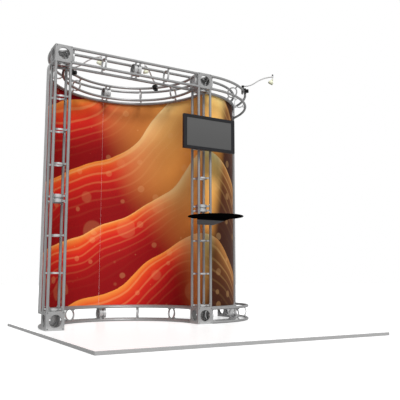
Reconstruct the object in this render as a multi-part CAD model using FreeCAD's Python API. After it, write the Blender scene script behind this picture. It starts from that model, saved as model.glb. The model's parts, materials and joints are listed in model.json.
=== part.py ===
import FreeCAD, Part
import math
import os

# Display booth of four-chord truss, in millimetres.
# Origin: centre of the underside of the middle base box. +X right, +Y to the back, +Z up.

# Junction boxes and layout
HEIGHT = 2438.4          # floor to the top of the top boxes
BOX = 155.0              # edge of a junction box
BOX_WALL = 6.0
BOX_EDGE_R = 3.0         # rounding of the box's outer edges
BOX_HOLE_R = 52.0        # round opening in each face
COLLAR_WALL = 4.0        # collar round each opening, on the inside
COLLAR_DEPTH = 8.0
BOLT_HOLE_R = 5.5        # corner holes of each face
ARC_R = 708.0            # centre line of every curved section
LOWER_COLUMN = 940.0     # length of a column's lower section

# Chord tubes, plugs in their ends, and lock screws
CHORD_R = 12.7
CHORD_WALL = 1.6
PLUG_LENGTH = 46.0
PLUG_CLEARANCE = 0.3
TAIL_CLEARANCE = 0.05
SCREW_R = 3.0
SCREW_INSET = 36.0       # from a chord's end
SCREW_HEAD_R = 5.0
SCREW_HEAD = 3.5

# Spacer rings
RING_R = 57.0
RING_BAND = 9.0
RING_WIDTH = 15.0
RING_ARM = 12.0
JOINT_RING_WIDTH = 26.0  # end ring where two sections meet
END_GAP = 8.5            # from a section's end to the disc that closes its end ring
END_DISC = 4.0
END_BORE_R = 6.0
END_HUB_R = 50.0         # hub on the disc, towards the section's end
END_HUB_WALL = 8.0
END_HUB_GAP = 1.8        # from the hub to the section's end
WELD_GAP = 0.1
LOWER_COLUMN_RINGS = 2   # rings between the end rings
UPPER_COLUMN_RINGS = 3
BEAM_RINGS = 1
CURVE_RINGS = 2

# Couplers through the end discs of two joined sections
COUPLER_R = 5.0
COUPLER_FLATS = 17.0     # across the bolt's head and the nut
COUPLER_HEAD = 7.0
COUPLER_NUT = 8.0
COUPLER_TAIL = 3.0       # bolt past the nut
COUPLER_GAP = 0.3

# Graphic panels and their hook tape
PANEL = 1.5
PANEL_GAP = 1.0          # between a panel's edge and what it meets
TAPE = 1.5
TAPE_HEIGHT = 20.0

# Spotlights: clamp, clamp screw and knob, hub, arm, end post and cap, head, bulb
CLAMP_WIDTH = 40.0       # along the chord
CLAMP_SIDE = 11.0        # wall of the hook beside the chord
CLAMP_CROWN = 14.0       # wall of the hook over the chord
CLAMP_SKIRT = 28.0       # how far the hook reaches below the chord's centre
CLAMP_EDGE_R = 4.0
CLAMP_CLEARANCE = 0.5
CLAMP_SCREW_R = 4.0
CLAMP_KNOB_R = 20.0
CLAMP_KNOB = 24.0
CLAMP_KNOB_GAP = 2.0
KNOB_LOBES = 6
KNOB_SCALLOP_R = 5.0
HUB_X = -12.0            # hub's axis from the chord's centre, along the arm
HUB_R = 13.0
HUB = 38.0
HUB_EDGE_R = 4.0
SPINDLE_R = 5.0          # under the hub, in the clamp's crown
SPINDLE = 12.0
RUNNING_CLEARANCE = 0.06
BODY_GAP = 0.4           # between pieces that move past each other
ARM_R = 6.5
ARM_WALL = 1.5
ARM_UP = 28.0            # from the hub's foot to the arm
ARM_FLAT = 42.0          # from the hub's axis to the double bend
ARM_RUN = 264.0          # length of the rising double bend
ARM_RISE = 76.0
ARM_FIRST = 0.35         # share of the first bend in the run
ARM_TAIL = 20.0          # level run up to the post
EYE_R = 8.5
EYE = 18.0
POST_R = 4.0
POST_TOP = 18.0          # post above the arm
POST_DROP = 26.0         # from the arm down to the head's pivot
CAP_R = 8.0
CAP = 17.0
CAP_EDGE_R = 3.0
PIVOT_R = 2.0
HEAD_BACK = 11.0         # from the pivot to the back of the head
HEAD_BACK_R = 12.0
HEAD_NECK = 8.0
HEAD_LENGTH = 42.0
HEAD_MOUTH_R = 27.0
HEAD_BULGE = 7.0         # swell of the bell between neck and mouth
HEAD_WALL = 2.0
HEAD_AIM = 61.0          # degrees below level, towards the panel
EAR = 3.0
EAR_R = 5.5
BULB_R = 6.0
BULB_LENGTH = 14.0

# Monitor
SCREEN_W = 494.0
SCREEN_H = 272.0
SCREEN = 10.0
SCREEN_LAP = 8.0         # how far the screen reaches behind the bezel's lip
BEZEL_SIDE = 38.0
BEZEL_RAIL = 30.0
BEZEL = 22.0
BEZEL_LIP = 4.0
BEZEL_EDGE_R = 4.0
BEZEL_FRONT_R = 2.0      # rounding of the front's outer edge
BEZEL_CHAMFER = 2.0      # round the screen
CASE_WALL = 3.0
COVER_W = 400.0          # raised middle of the back cover
COVER_H = 220.0
COVER = 18.0
COVER_EDGE_R = 5.0
MONITOR_Z = 1804.0       # height of the monitor's centre
BOARD_W = 180.0
BOARD_H = 120.0
BOARD = 2.0
BOARD_POST_R = 3.0
BOARD_POST_INSET = 8.0
BUTTON_R = 4.0
BUTTON_FLANGE_R = 6.0
BUTTON_FLANGE = 1.5
BUTTON_TRAVEL = 1.0
BUTTON_REST = 0.5        # what still stands out when it is pressed
BUTTON_INSET = 60.0      # from the monitor's right side

# Tilt mount behind the monitor
PLATE = 3.0
PLATE_EDGE_R = 6.0
TILT_PLATE = 120.0
TILT_REACH = 17.5        # from the tilt pin to the back cover
TILT_PIN_R = 4.0
TILT_EYE_R = 9.0
LUG = 5.0
LUG_SPAN = 60.0          # between the bracket's lugs
BRACKET_H = 150.0
BRACKET_REACH = 32.0     # from the chords' front to the tilt pin

# Shelf and its bracket
SHELF_R = 258.0
SHELF = 6.0
SHELF_EDGE_R = 2.0
SHELF_Z = 997.0          # top of the shelf
SHELF_OUT = 268.0        # from the column's axis to the shelf's centre
SHELF_SLOT_GAP = 1.5
SHELF_BRACKET_OUT = 150.0
SHELF_BRACKET_HALF_W = 175.0  # at its front
SHELF_BRACKET_H = 60.0
SHELF_BRACKET_TIP = 10.0
SHELF_FLANGE = 22.0

# U-bolts on the middle column's front chords
U_ROD_R = 3.0
U_GAP = 0.1
U_TAIL = 10.0            # rod past the plate
NUT_FLATS = 10.0
NUT = 5.0
U_EDGE = 10.0            # plate beyond a U-bolt's leg
MONITOR_U_SPAN = 100.0   # between the upper and lower U-bolts
SHELF_U_SPAN = 28.0

V = FreeCAD.Vector
X, Y, Z = V(1, 0, 0), V(0, 1, 0), V(0, 0, 1)
CORNERS = [(1, 1), (1, -1), (-1, 1), (-1, -1)]
QUARTER = 90.0           # degrees

HALF = BOX / 2
CHORD_AT = HALF - CHORD_R                # chord centres, from a section's axis
BORE_R = CHORD_R - CHORD_WALL
PLUG_R = BORE_R - PLUG_CLEARANCE
TAIL_R = BOLT_HOLE_R - TAIL_CLEARANCE
UPPER_COLUMN = HEIGHT - 2 * BOX - LOWER_COLUMN
COLUMN_SPACING = 2 * ARC_R
BEAM = (COLUMN_SPACING - BOX) / 2        # each half of the front beam
WING_END = ARC_R + HALF
BASE_Z = HALF
TOP_Z = HEIGHT - HALF
COLUMNS = {"left": V(-COLUMN_SPACING, 0, 0), "middle": V(0, 0, 0), "rear": V(WING_END, WING_END, 0)}
BAY_CENTRE = V(-ARC_R, HALF, 0)          # half-round wall between the left and middle columns
WING_CENTRE = V(HALF, ARC_R, 0)          # quarter-round wall between the middle and rear columns
QUARTERS = {
    "bay_left": (BAY_CENTRE, 90),
    "bay_right": (BAY_CENTRE, 0),
    "wing": (WING_CENTRE, -90),
}
CURVE_ENDS = {"bay_left": ("joint", "box"), "bay_right": ("box", "joint"), "wing": ("box", "box")}
LEVELS = {"base": BASE_Z, "top": TOP_Z}

nodes = {}


def add(node, solids):
    nodes.setdefault(node, []).extend(solids)


def placed(solids, place, axis=Z, degrees=0.0):
    """Copies of solids, turned about an axis through the origin and then moved."""
    return [solid.rotated(V(), axis, degrees).translated(place) for solid in solids]


def mirrored(solids, point, normal):
    return [solid.mirror(point, normal) for solid in solids]


def block(low, high):
    size = high - low
    return Part.makeBox(size.x, size.y, size.z, low)


def disc(centre, normal, radius):
    return Part.Face(Part.Wire(Part.makeCircle(radius, centre, normal)))


def annulus(centre, normal, outer, inner):
    rims = [Part.makeCircle(radius, centre, normal) for radius in (outer, inner)]
    return Part.makeFace([Part.Wire(rim) for rim in rims], "Part::FaceMakerBullseye")


def polygon(points):
    return Part.Face(Part.makePolygon(points + points[:1]))


def arc_turn(length, radius):
    return math.degrees(length / radius)


def on_circle(radius, degrees, height):
    angle = math.radians(degrees)
    return V(radius * math.cos(angle), radius * math.sin(angle), height)


# Junction boxes

def junction_box():
    """Hollow cube about the origin, with a collared opening and four bolt holes in each face."""
    half, inside = V(HALF, HALF, HALF), HALF - BOX_WALL
    cube = block(half * -1, half)
    cube = cube.makeFillet(BOX_EDGE_R, cube.Edges)
    cube = cube.cut(block(V(-inside, -inside, -inside), V(inside, inside, inside)))
    turns = [(X, 0), (X, 90), (X, 180), (X, 270), (Y, 90), (Y, 270)]
    collar = annulus(Z * (inside - COLLAR_DEPTH), Z, BOX_HOLE_R + COLLAR_WALL, BOX_HOLE_R)
    collar = collar.extrude(Z * (COLLAR_DEPTH + BOX_WALL / 2))
    hole = Part.makeCylinder(BOX_HOLE_R, BOX_WALL + COLLAR_DEPTH, Z * (inside - COLLAR_DEPTH))
    bolts = [
        Part.makeCylinder(BOLT_HOLE_R, BOX_WALL, V(sx * CHORD_AT, sy * CHORD_AT, inside))
        for sx, sy in CORNERS
    ]
    for axis, degrees in turns:
        cube = cube.fuse(placed([collar], V(), axis, degrees))
        cube = cube.cut(placed([hole] + bolts, V(), axis, degrees))
    return cube.removeSplitter()


# Truss sections

def spacer_ring(width, closed=False):
    """Ring about the Z axis, with four arms that saddle the chords.

    A closed one has a disc and a hub at its foot.
    """
    foot = Z * (-width / 2)
    ring = annulus(foot, Z, RING_R, RING_R - RING_BAND).extrude(Z * width)
    reach = CHORD_AT * math.sqrt(2)
    arm = block(
        V(RING_R - RING_BAND / 2, -RING_ARM / 2, -RING_WIDTH / 2),
        V(reach, RING_ARM / 2, RING_WIDTH / 2),
    )
    chord = Part.makeCylinder(CHORD_R + WELD_GAP, 2 * RING_WIDTH, V(reach, 0, -RING_WIDTH))
    arm = arm.cut(chord)
    pieces = [arm.rotated(V(), Z, 45 + QUARTER * k) for k in range(4)]
    if closed:
        plate = annulus(foot, Z, RING_R - RING_BAND / 2, END_BORE_R)
        pieces.append(plate.extrude(Z * END_DISC))
        hub_end = foot - Z * (END_GAP - END_HUB_GAP)
        hub = annulus(hub_end, Z, END_HUB_R, END_HUB_R - END_HUB_WALL)
        pieces.append(hub.extrude(foot - hub_end + Z * (END_DISC / 2)))
    return ring.fuse(pieces).removeSplitter()


def ring_stations(length, between, ends):
    """Each ring of a section, and how far it is along. ends names what is before and after the section."""
    pitch = length / (between + 1)
    (first, inset), (last, last_inset) = (END_RINGS[end] for end in ends)
    middle = [(OPEN_RING, pitch * (k + 1)) for k in range(between)]
    return [(first, inset)] + middle + [(last.rotated(V(), X, 2 * QUARTER), length - last_inset)]


def hexagon(centre, flats, height):
    """Six-sided prism up from a centre."""
    corner = flats / math.sqrt(3)
    return polygon([centre + on_circle(corner, 60.0 * k, 0) for k in range(6)]).extrude(Z * height)


def section_coupler():
    """Bolt and nut along the Z axis, through the end discs on both sides of the origin."""
    seat = END_GAP + END_DISC + COUPLER_GAP
    foot = Z * -(seat + COUPLER_NUT)
    end = foot - Z * COUPLER_TAIL
    head = hexagon(Z * seat, COUPLER_FLATS, COUPLER_HEAD)
    bolt = Part.makeCylinder(COUPLER_R, seat - end.z, end).fuse(head)
    nut = hexagon(foot, COUPLER_FLATS, COUPLER_NUT)
    nut = nut.cut(Part.makeCylinder(COUPLER_R + TAIL_CLEARANCE, COUPLER_NUT, foot))
    return [bolt, nut]


def lock_screw(point, inward):
    shank = Part.makeCylinder(SCREW_R, CHORD_R - PLUG_R, point + inward * PLUG_R, inward)
    head = Part.makeCylinder(SCREW_HEAD_R, SCREW_HEAD, point + inward * CHORD_R, inward)
    return shank.fuse(head)


def screw_hole(point, inward):
    return Part.makeCylinder(SCREW_R + TAIL_CLEARANCE, CHORD_R, point + inward * (BORE_R / 2), inward)


def straight_section(length, rings_between, ends):
    """Chords, rings and lock screws of a section that runs up +Z from the origin."""
    chords, screws = [], []
    for sx, sy in CORNERS:
        foot = V(sx * CHORD_AT, sy * CHORD_AT, 0)
        tube = annulus(foot, Z, CHORD_R, BORE_R).extrude(Z * length)
        for height in (SCREW_INSET, length - SCREW_INSET):
            tube = tube.cut(screw_hole(foot + Z * height, X * -sx))
            screws.append(lock_screw(foot + Z * height, X * -sx))
        chords.append(tube)
    rings = [ring.translated(Z * height) for ring, height in ring_stations(length, rings_between, ends)]
    return chords, rings, screws


def curved_section(rings_between, ends):
    """Chords, rings and lock screws of a quarter circle about the Z axis, from +X to +Y."""
    chords, screws = [], []
    for sr, sz in CORNERS:
        radius, height = ARC_R + sr * CHORD_AT, sz * CHORD_AT
        tube = annulus(V(radius, 0, height), Y, CHORD_R, BORE_R).revolve(V(), Z, QUARTER)
        turn = arc_turn(SCREW_INSET, radius)
        for degrees in (turn, QUARTER - turn):
            point = on_circle(radius, degrees, height)
            tube = tube.cut(screw_hole(point, Z * -sz))
            screws.append(lock_screw(point, Z * -sz))
        chords.append(tube)
    rings = []
    for ring, station in ring_stations(ARC_R * math.radians(QUARTER), rings_between, ends):
        upright = ring.rotated(V(), X, -QUARTER).translated(X * ARC_R)
        rings.append(upright.rotated(V(), Z, arc_turn(station, ARC_R)))
    return chords, rings, screws


def straight_spigots():
    """Plugs at the foot of a straight section, with tails in the box's bolt holes below it."""
    spigots = []
    for sx, sy in CORNERS:
        foot = V(sx * CHORD_AT, sy * CHORD_AT, 0)
        tail = Part.makeCylinder(TAIL_R, BOX_WALL, foot, Z * -1)
        spigots.append(Part.makeCylinder(PLUG_R, PLUG_LENGTH, foot).fuse(tail))
    return spigots


def curved_spigots():
    """Plugs at the start of a curved section, with tails in the box's bolt holes before it."""
    spigots = []
    for sr, sz in CORNERS:
        radius = ARC_R + sr * CHORD_AT
        foot = V(radius, 0, sz * CHORD_AT)
        plug = disc(foot, Y, PLUG_R).revolve(V(), Z, arc_turn(PLUG_LENGTH, radius))
        spigots.append(plug.fuse(Part.makeCylinder(TAIL_R, BOX_WALL, foot, Y * -1)))
    return spigots


def straight_sleeves():
    feet = [V(sx * CHORD_AT, sy * CHORD_AT, -PLUG_LENGTH) for sx, sy in CORNERS]
    return [Part.makeCylinder(PLUG_R, 2 * PLUG_LENGTH, foot) for foot in feet]


def curved_sleeves():
    sleeves = []
    for sr, sz in CORNERS:
        radius = ARC_R + sr * CHORD_AT
        turn = arc_turn(PLUG_LENGTH, radius)
        sleeve = disc(V(radius, 0, sz * CHORD_AT), Y, PLUG_R).revolve(V(), Z, 2 * turn)
        sleeves.append(sleeve.rotated(V(), Z, -turn))
    return sleeves


def columns():
    lower = straight_section(LOWER_COLUMN, LOWER_COLUMN_RINGS, ("box", "joint"))
    upper = straight_section(UPPER_COLUMN, UPPER_COLUMN_RINGS, ("joint", "box"))
    foot_spigots = straight_spigots()
    head_spigots = mirrored(foot_spigots, V(), Z)
    sleeves = straight_sleeves()
    joint = BOX + LOWER_COLUMN
    for name, centre in COLUMNS.items():
        add(name + "_base_box", placed([BOX_SOLID], centre + Z * BASE_Z))
        add(name + "_top_box", placed([BOX_SOLID], centre + Z * TOP_Z))
        for half, section, start in (("lower", lower, BOX), ("upper", upper, joint)):
            chords, rings, screws = section
            add(f"{name}_column_{half}_chords", placed(chords, centre + Z * start))
            add("straight_rings", placed(rings, centre + Z * start))
            add("lock_screws", placed(screws, centre + Z * start))
        add("chord_spigots", placed(foot_spigots, centre + Z * BOX))
        add("chord_spigots", placed(sleeves, centre + Z * joint))
        add("section_couplers", placed(COUPLER, centre + Z * joint))
        add("chord_spigots", placed(head_spigots, centre + Z * (HEIGHT - BOX)))


def front_beam():
    """Straight truss at the top, between the left and middle columns."""
    start = COLUMNS["left"] + V(HALF, 0, TOP_Z)
    middle = start + X * BEAM
    end = middle + X * BEAM
    for place, ends in ((start, ("box", "joint")), (middle, ("joint", "box"))):
        chords, rings, screws = straight_section(BEAM, BEAM_RINGS, ends)
        add("front_beam_chords", placed(chords, place, Y, QUARTER))
        add("straight_rings", placed(rings, place, Y, QUARTER))
        add("lock_screws", placed(screws, place, Y, QUARTER))
    spigots = straight_spigots()
    add("chord_spigots", placed(spigots, start, Y, QUARTER))
    add("chord_spigots", placed(straight_sleeves(), middle, Y, QUARTER))
    add("section_couplers", placed(COUPLER, middle, Y, QUARTER))
    add("chord_spigots", placed(spigots, end, Y, -QUARTER))


def curved_walls():
    """Quarter sections at the floor and at the top, and the plugs at their ends."""
    sections = {name: curved_section(CURVE_RINGS, ends) for name, ends in CURVE_ENDS.items()}
    first = curved_spigots()
    last = mirrored(first, V(), V(1, -1, 0))
    sleeves = curved_sleeves()
    for level, height in LEVELS.items():
        for name, (centre, start) in QUARTERS.items():
            place = centre + Z * height
            chords, rings, screws = sections[name]
            add(f"{name}_{level}_chords", placed(chords, place, Z, start))
            add("curve_rings", placed(rings, place, Z, start))
            add("lock_screws", placed(screws, place, Z, start))
        bay, wing = BAY_CENTRE + Z * height, WING_CENTRE + Z * height
        add("chord_spigots", placed(first, bay) + placed(last, bay, Z, QUARTER))
        add("chord_spigots", placed(sleeves, bay, Z, QUARTER))
        add("section_couplers", placed(COUPLER, bay + Y * ARC_R, Y, QUARTER))
        add("chord_spigots", placed(first, wing, Z, -QUARTER) + placed(last, wing, Z, -QUARTER))


# Graphic panels

def curved_strip(inner, thickness, low, high, start, sweep):
    section = polygon([
        V(inner, 0, low),
        V(inner + thickness, 0, low),
        V(inner + thickness, 0, high),
        V(inner, 0, high),
    ])
    return section.revolve(V(), Z, sweep).rotated(V(), Z, start)


def graphics():
    """Panels behind the curved walls, on tape along the lower top chord and the upper base chord."""
    low_chord, high_chord = BOX - CHORD_R, HEIGHT - BOX + CHORD_R
    low, high = low_chord - CHORD_R, high_chord + CHORD_R
    trims = {
        "bay_left": (PANEL_GAP / 2, PANEL_GAP),
        "bay_right": (PANEL_GAP, PANEL_GAP / 2),
        "wing": (WELD_GAP + TAPE + PANEL + PANEL_GAP, PANEL_GAP),
    }
    for name, (centre, start) in QUARTERS.items():
        outward = name != "wing"
        tape_in = ARC_R + HALF + WELD_GAP if outward else ARC_R - HALF - WELD_GAP - TAPE
        panel_in = tape_in + TAPE if outward else tape_in - PANEL
        first, last = (arc_turn(trim, panel_in) for trim in trims[name])
        sweep = QUARTER - first - last
        panel = curved_strip(panel_in, PANEL, low, high, start + first, sweep)
        add(name + "_panel", placed([panel], centre))
        for chord in (low_chord, high_chord):
            edge = TAPE_HEIGHT / 2
            tape = curved_strip(tape_in, TAPE, chord - edge, chord + edge, start + first, sweep)
            add("hook_tapes", placed([tape], centre))


# Spotlights, built on a chord along Y through the origin, with the arm towards +X

CLAMP_BORE_R = CHORD_R + CLAMP_CLEARANCE
CLAMP_X = CLAMP_BORE_R + CLAMP_SIDE
CLAMP_TOP = CLAMP_BORE_R + CLAMP_CROWN
HUB_FOOT = CLAMP_TOP + BODY_GAP
ARM_START = HUB_X + HUB_R / 2
ARM_LOW = HUB_FOOT + ARM_UP
ARM_HIGH = ARM_LOW + ARM_RISE
BEND_START = HUB_X + ARM_FLAT
BEND_END = BEND_START + ARM_RUN
POST_X = BEND_END + ARM_TAIL
EYE_TOP = ARM_HIGH + EYE / 2
POST_END = ARM_HIGH + POST_TOP
PIVOT_Z = ARM_HIGH - POST_DROP
EAR_IN = POST_R + BODY_GAP


def round_top(solid, height, radius):
    """Round the edges of a solid that lie at a height."""
    return solid.makeFillet(radius, [edge for edge in solid.Edges if edge.BoundBox.ZMin > height - radius])


def lamp_clamp():
    """Hook over the chord, with the hub's socket in its crown and the screw's hole in front."""
    hook = block(V(-CLAMP_X, -CLAMP_WIDTH / 2, -CLAMP_SKIRT), V(CLAMP_X, CLAMP_WIDTH / 2, CLAMP_TOP))
    uprights = [edge for edge in hook.Edges if abs(edge.tangentAt(0).z) > 0.5]
    hook = hook.makeFillet(CLAMP_EDGE_R, uprights)
    bore = Part.makeCylinder(CLAMP_BORE_R, 2 * CLAMP_WIDTH, Y * -CLAMP_WIDTH, Y)
    mouth = block(
        V(-CLAMP_BORE_R, -CLAMP_WIDTH, -2 * CLAMP_SKIRT),
        V(CLAMP_BORE_R, CLAMP_WIDTH, 0),
    )
    socket = Part.makeCylinder(SPINDLE_R + RUNNING_CLEARANCE, SPINDLE, V(HUB_X, 0, CLAMP_TOP - SPINDLE))
    thread = Part.makeCylinder(CLAMP_SCREW_R + RUNNING_CLEARANCE, 2 * CLAMP_X, V(), X)
    return hook.cut([bore, mouth, socket, thread])


def lamp_clamp_knob():
    """Lobed knob on the screw that presses on the chord."""
    tip = CHORD_R + BODY_GAP
    seat = CLAMP_X + CLAMP_KNOB_GAP
    screw = Part.makeCylinder(CLAMP_SCREW_R, seat - tip, X * tip, X)
    knob = Part.makeCylinder(CLAMP_KNOB_R, CLAMP_KNOB, X * seat, X)
    scallop_at = V(seat, 0, CLAMP_KNOB_R + KNOB_SCALLOP_R / 2)
    scallop = Part.makeCylinder(KNOB_SCALLOP_R, CLAMP_KNOB, scallop_at, X)
    step = 360.0 / KNOB_LOBES
    scallops = [scallop.rotated(V(), X, step * k) for k in range(KNOB_LOBES)]
    return knob.cut(scallops).fuse(screw)


def lamp_hub():
    """Swivelling hub on a spindle in the clamp, with a hole in its side for the arm."""
    foot = V(HUB_X, 0, HUB_FOOT)
    hub = round_top(Part.makeCylinder(HUB_R, HUB, foot), HUB_FOOT + HUB, HUB_EDGE_R)
    spindle = Part.makeCylinder(SPINDLE_R, SPINDLE, foot, Z * -1)
    hole = Part.makeCylinder(ARM_R + TAIL_CLEARANCE, HUB_R, V(ARM_START, 0, ARM_LOW), X)
    return hub.fuse(spindle).cut(hole)


def arm_path():
    """Level run out of the hub, rising double bend and level run, as tangent lines and arcs."""
    turn = 2 * math.atan2(ARM_RISE, ARM_RUN)
    half_turn = V(math.sin(turn / 2), 0, 1 - math.cos(turn / 2)) * (ARM_RUN / math.sin(turn))
    start, bend = V(ARM_START, 0, ARM_LOW), V(BEND_START, 0, ARM_LOW)
    bend_end, end = V(BEND_END, 0, ARM_HIGH), V(POST_X, 0, ARM_HIGH)
    middle = bend + (bend_end - bend) * ARM_FIRST
    return Part.Wire([
        Part.makeLine(start, bend),
        Part.Arc(bend, bend + half_turn * ARM_FIRST, middle).toShape(),
        Part.Arc(middle, bend_end - half_turn * (1 - ARM_FIRST), bend_end).toShape(),
        Part.makeLine(bend_end, end),
    ])


def lamp_arm():
    """Bent tube, with the eye, the upright post and the head's cross pin at its end."""
    tube = arm_path().makePipe(annulus(V(ARM_START, 0, ARM_LOW), X, ARM_R, ARM_R - ARM_WALL))
    eye = Part.makeCylinder(EYE_R, EYE, V(POST_X, 0, EYE_TOP - EYE))
    post_foot = PIVOT_Z - POST_R
    post = Part.makeCylinder(POST_R, POST_END - post_foot, V(POST_X, 0, post_foot))
    pin_half = EAR_IN + EAR + BODY_GAP
    pin = Part.makeCylinder(PIVOT_R, 2 * pin_half, V(POST_X, -pin_half, PIVOT_Z), Y)
    return tube.fuse([eye, post, pin])


def lamp_post_cap():
    """Cap on the post's upper end."""
    foot = V(POST_X, 0, EYE_TOP)
    cap = round_top(Part.makeCylinder(CAP_R, CAP, foot), EYE_TOP + CAP, CAP_EDGE_R)
    return cap.cut(Part.makeCylinder(POST_R + TAIL_CLEARANCE, POST_END - EYE_TOP, foot))


def aimed(solid):
    """Turn a head that was built up +Z so that it aims back and down, and hang it on its pivot."""
    return solid.rotated(V(), Y, -QUARTER - HEAD_AIM).translated(V(POST_X, 0, PIVOT_Z))


def bell_side(inset):
    """Side of the head's bell, from the neck to the mouth, moved in by a wall."""
    neck = V(HEAD_BACK_R - inset, 0, HEAD_BACK + HEAD_NECK)
    mouth = V(HEAD_MOUTH_R - inset, 0, HEAD_BACK + HEAD_LENGTH)
    along = mouth - neck
    across = V(along.z, 0, -along.x).normalize()
    return neck, (neck + mouth) * 0.5 + across * HEAD_BULGE, mouth


def lamp_head():
    """Bell-shaped shell with two ears on the pivot."""
    neck, swell, mouth = bell_side(0.0)
    inner_neck, inner_swell, inner_mouth = bell_side(HEAD_WALL)
    back, floor = HEAD_BACK, HEAD_BACK + HEAD_WALL
    lines = [
        [V(0, 0, back), V(HEAD_BACK_R, 0, back), neck],
        [mouth, inner_mouth],
        [inner_neck, V(inner_neck.x, 0, floor), V(0, 0, floor), V(0, 0, back)],
    ]
    edges = [Part.makeLine(a, b) for line in lines for a, b in zip(line, line[1:])]
    edges.append(Part.Arc(neck, swell, mouth).toShape())
    edges.append(Part.Arc(inner_neck, inner_swell, inner_mouth).toShape())
    outline = Part.Wire(Part.__sortEdges__(edges))
    shell = Part.Face(outline).revolve(V(), Z, 360)
    for side in (1, -1):
        low, high = sorted((side * EAR_IN, side * (EAR_IN + EAR)))
        ear = Part.makeCylinder(EAR_R, EAR, Y * low, Y)
        ear = ear.fuse(block(V(-EAR_R, low, 0), V(EAR_R, high, back + HEAD_WALL / 2)))
        shell = shell.fuse(ear.cut(Part.makeCylinder(PIVOT_R + RUNNING_CLEARANCE, EAR, Y * low, Y)))
    return shell.removeSplitter()


def lamp_bulb():
    seat = HEAD_BACK + HEAD_WALL
    stem = Part.makeCylinder(BULB_R, BULB_LENGTH, Z * seat)
    return stem.fuse(Part.makeSphere(BULB_R, Z * (seat + BULB_LENGTH))).removeSplitter()


def spotlights():
    """One lamp at the middle of each curved top section, on its front upper chord."""
    pieces = {
        "clamp": lamp_clamp(),
        "clamp_knob": lamp_clamp_knob(),
        "hub": lamp_hub(),
        "arm": lamp_arm(),
        "post_cap": lamp_post_cap(),
        "head": aimed(lamp_head()),
        "bulb": aimed(lamp_bulb()),
    }
    height = HEIGHT - CHORD_R
    for lamp, wall in (("left", "bay_left"), ("centre", "bay_right"), ("right", "wing")):
        centre, start = QUARTERS[wall]
        side = 1 if wall == "wing" else -1
        middle = start + QUARTER / 2
        place = centre + on_circle(ARC_R + side * CHORD_AT, middle, height)
        facing = middle if side > 0 else middle + 2 * QUARTER
        for piece, solid in pieces.items():
            add(f"{lamp}_lamp_{piece}", placed([solid], place, Z, facing))


# U-bolts

U_BEND_R = CHORD_R + U_ROD_R + U_GAP
CHORD_FRONT = -HALF
PLATE_FRONT = CHORD_FRONT - PLATE
PLATE_HALF_W = CHORD_AT + U_BEND_R + U_EDGE


def u_bolt(place):
    """Rod round the back of a chord, with its legs through a plate in front and a nut on each."""
    end = PLATE_FRONT - U_TAIL
    left, right = place.x - U_BEND_R, place.x + U_BEND_R
    z = place.z
    bend, bend_end = V(left, -CHORD_AT, z), V(right, -CHORD_AT, z)
    path = Part.Wire([
        Part.makeLine(V(left, end, z), bend),
        Part.Arc(bend, V(place.x, U_BEND_R - CHORD_AT, z), bend_end).toShape(),
        Part.makeLine(bend_end, V(right, end, z)),
    ])
    rod = path.makePipe(disc(V(left, end, z), Y, U_ROD_R))
    nut = hexagon(V(), NUT_FLATS, NUT).cut(Part.makeCylinder(U_ROD_R + TAIL_CLEARANCE, NUT))
    nuts = [placed([nut], V(leg, PLATE_FRONT, z), X, QUARTER)[0] for leg in (left, right)]
    return [rod] + nuts


def u_bolt_places(height, span):
    return [V(side * CHORD_AT, 0, height + up * span / 2) for side, up in CORNERS]


def leg_holes(places):
    top = PLATE_FRONT - PLATE
    return [
        Part.makeCylinder(U_ROD_R + PLUG_CLEARANCE, 3 * PLATE, V(place.x + side * U_BEND_R, top, place.z), Y)
        for place in places for side in (1, -1)
    ]


# Monitor, with its front towards -Y

PIN_Y = CHORD_FRONT - BRACKET_REACH
COVER_BACK = PIN_Y - TILT_REACH
COVER_FRONT = COVER_BACK - COVER                    # where cover and bezel meet
MONITOR_FRONT = COVER_FRONT - BEZEL
MONITOR_HALF_W = SCREEN_W / 2 + BEZEL_SIDE
MONITOR_HALF_H = SCREEN_H / 2 + BEZEL_RAIL
SCREEN_FRONT = MONITOR_FRONT + BEZEL_LIP
SCREEN_BACK = SCREEN_FRONT + SCREEN
BUTTON_X = MONITOR_HALF_W - BUTTON_INSET
BUTTON_Y = COVER_FRONT - BEZEL / 2
BUTTON_PROUD = BUTTON_TRAVEL + BUTTON_REST


def slab(half_w, half_h, front, back):
    """Upright block about the monitor's centre line."""
    return block(V(-half_w, front, MONITOR_Z - half_h), V(half_w, back, MONITOR_Z + half_h))


def round_slab(half_w, half_h, front, back, radius):
    """Upright block with rounded corners."""
    solid = slab(half_w, half_h, front, back)
    return solid.makeFillet(radius, [edge for edge in solid.Edges if abs(edge.tangentAt(0).y) > 0.5])


def front_edges(solid):
    return [edge for edge in solid.Edges if edge.BoundBox.YMax < MONITOR_FRONT + BEZEL_FRONT_R / 2]


def monitor_bezel():
    frame = round_slab(MONITOR_HALF_W, MONITOR_HALF_H, MONITOR_FRONT, COVER_FRONT, BEZEL_EDGE_R)
    frame = frame.makeFillet(BEZEL_FRONT_R, front_edges(frame))
    window = slab(SCREEN_W / 2, SCREEN_H / 2, MONITOR_FRONT - BEZEL_LIP, COVER_FRONT)
    room = slab(MONITOR_HALF_W - CASE_WALL, MONITOR_HALF_H - CASE_WALL, SCREEN_FRONT, COVER_FRONT)
    button = Part.makeCylinder(
        BUTTON_R + BODY_GAP, 3 * CASE_WALL, V(BUTTON_X, BUTTON_Y, MONITOR_Z - MONITOR_HALF_H - CASE_WALL))
    case = frame.cut([window, room, button])
    reach = BEZEL_FRONT_R / 2
    at_window = [edge for edge in front_edges(case) if window.isInside(edge.CenterOfMass, reach, True)]
    return case.makeChamfer(BEZEL_CHAMFER, at_window)


def monitor_screen():
    return slab(SCREEN_W / 2 + SCREEN_LAP, SCREEN_H / 2 + SCREEN_LAP, SCREEN_FRONT, SCREEN_BACK)


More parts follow.
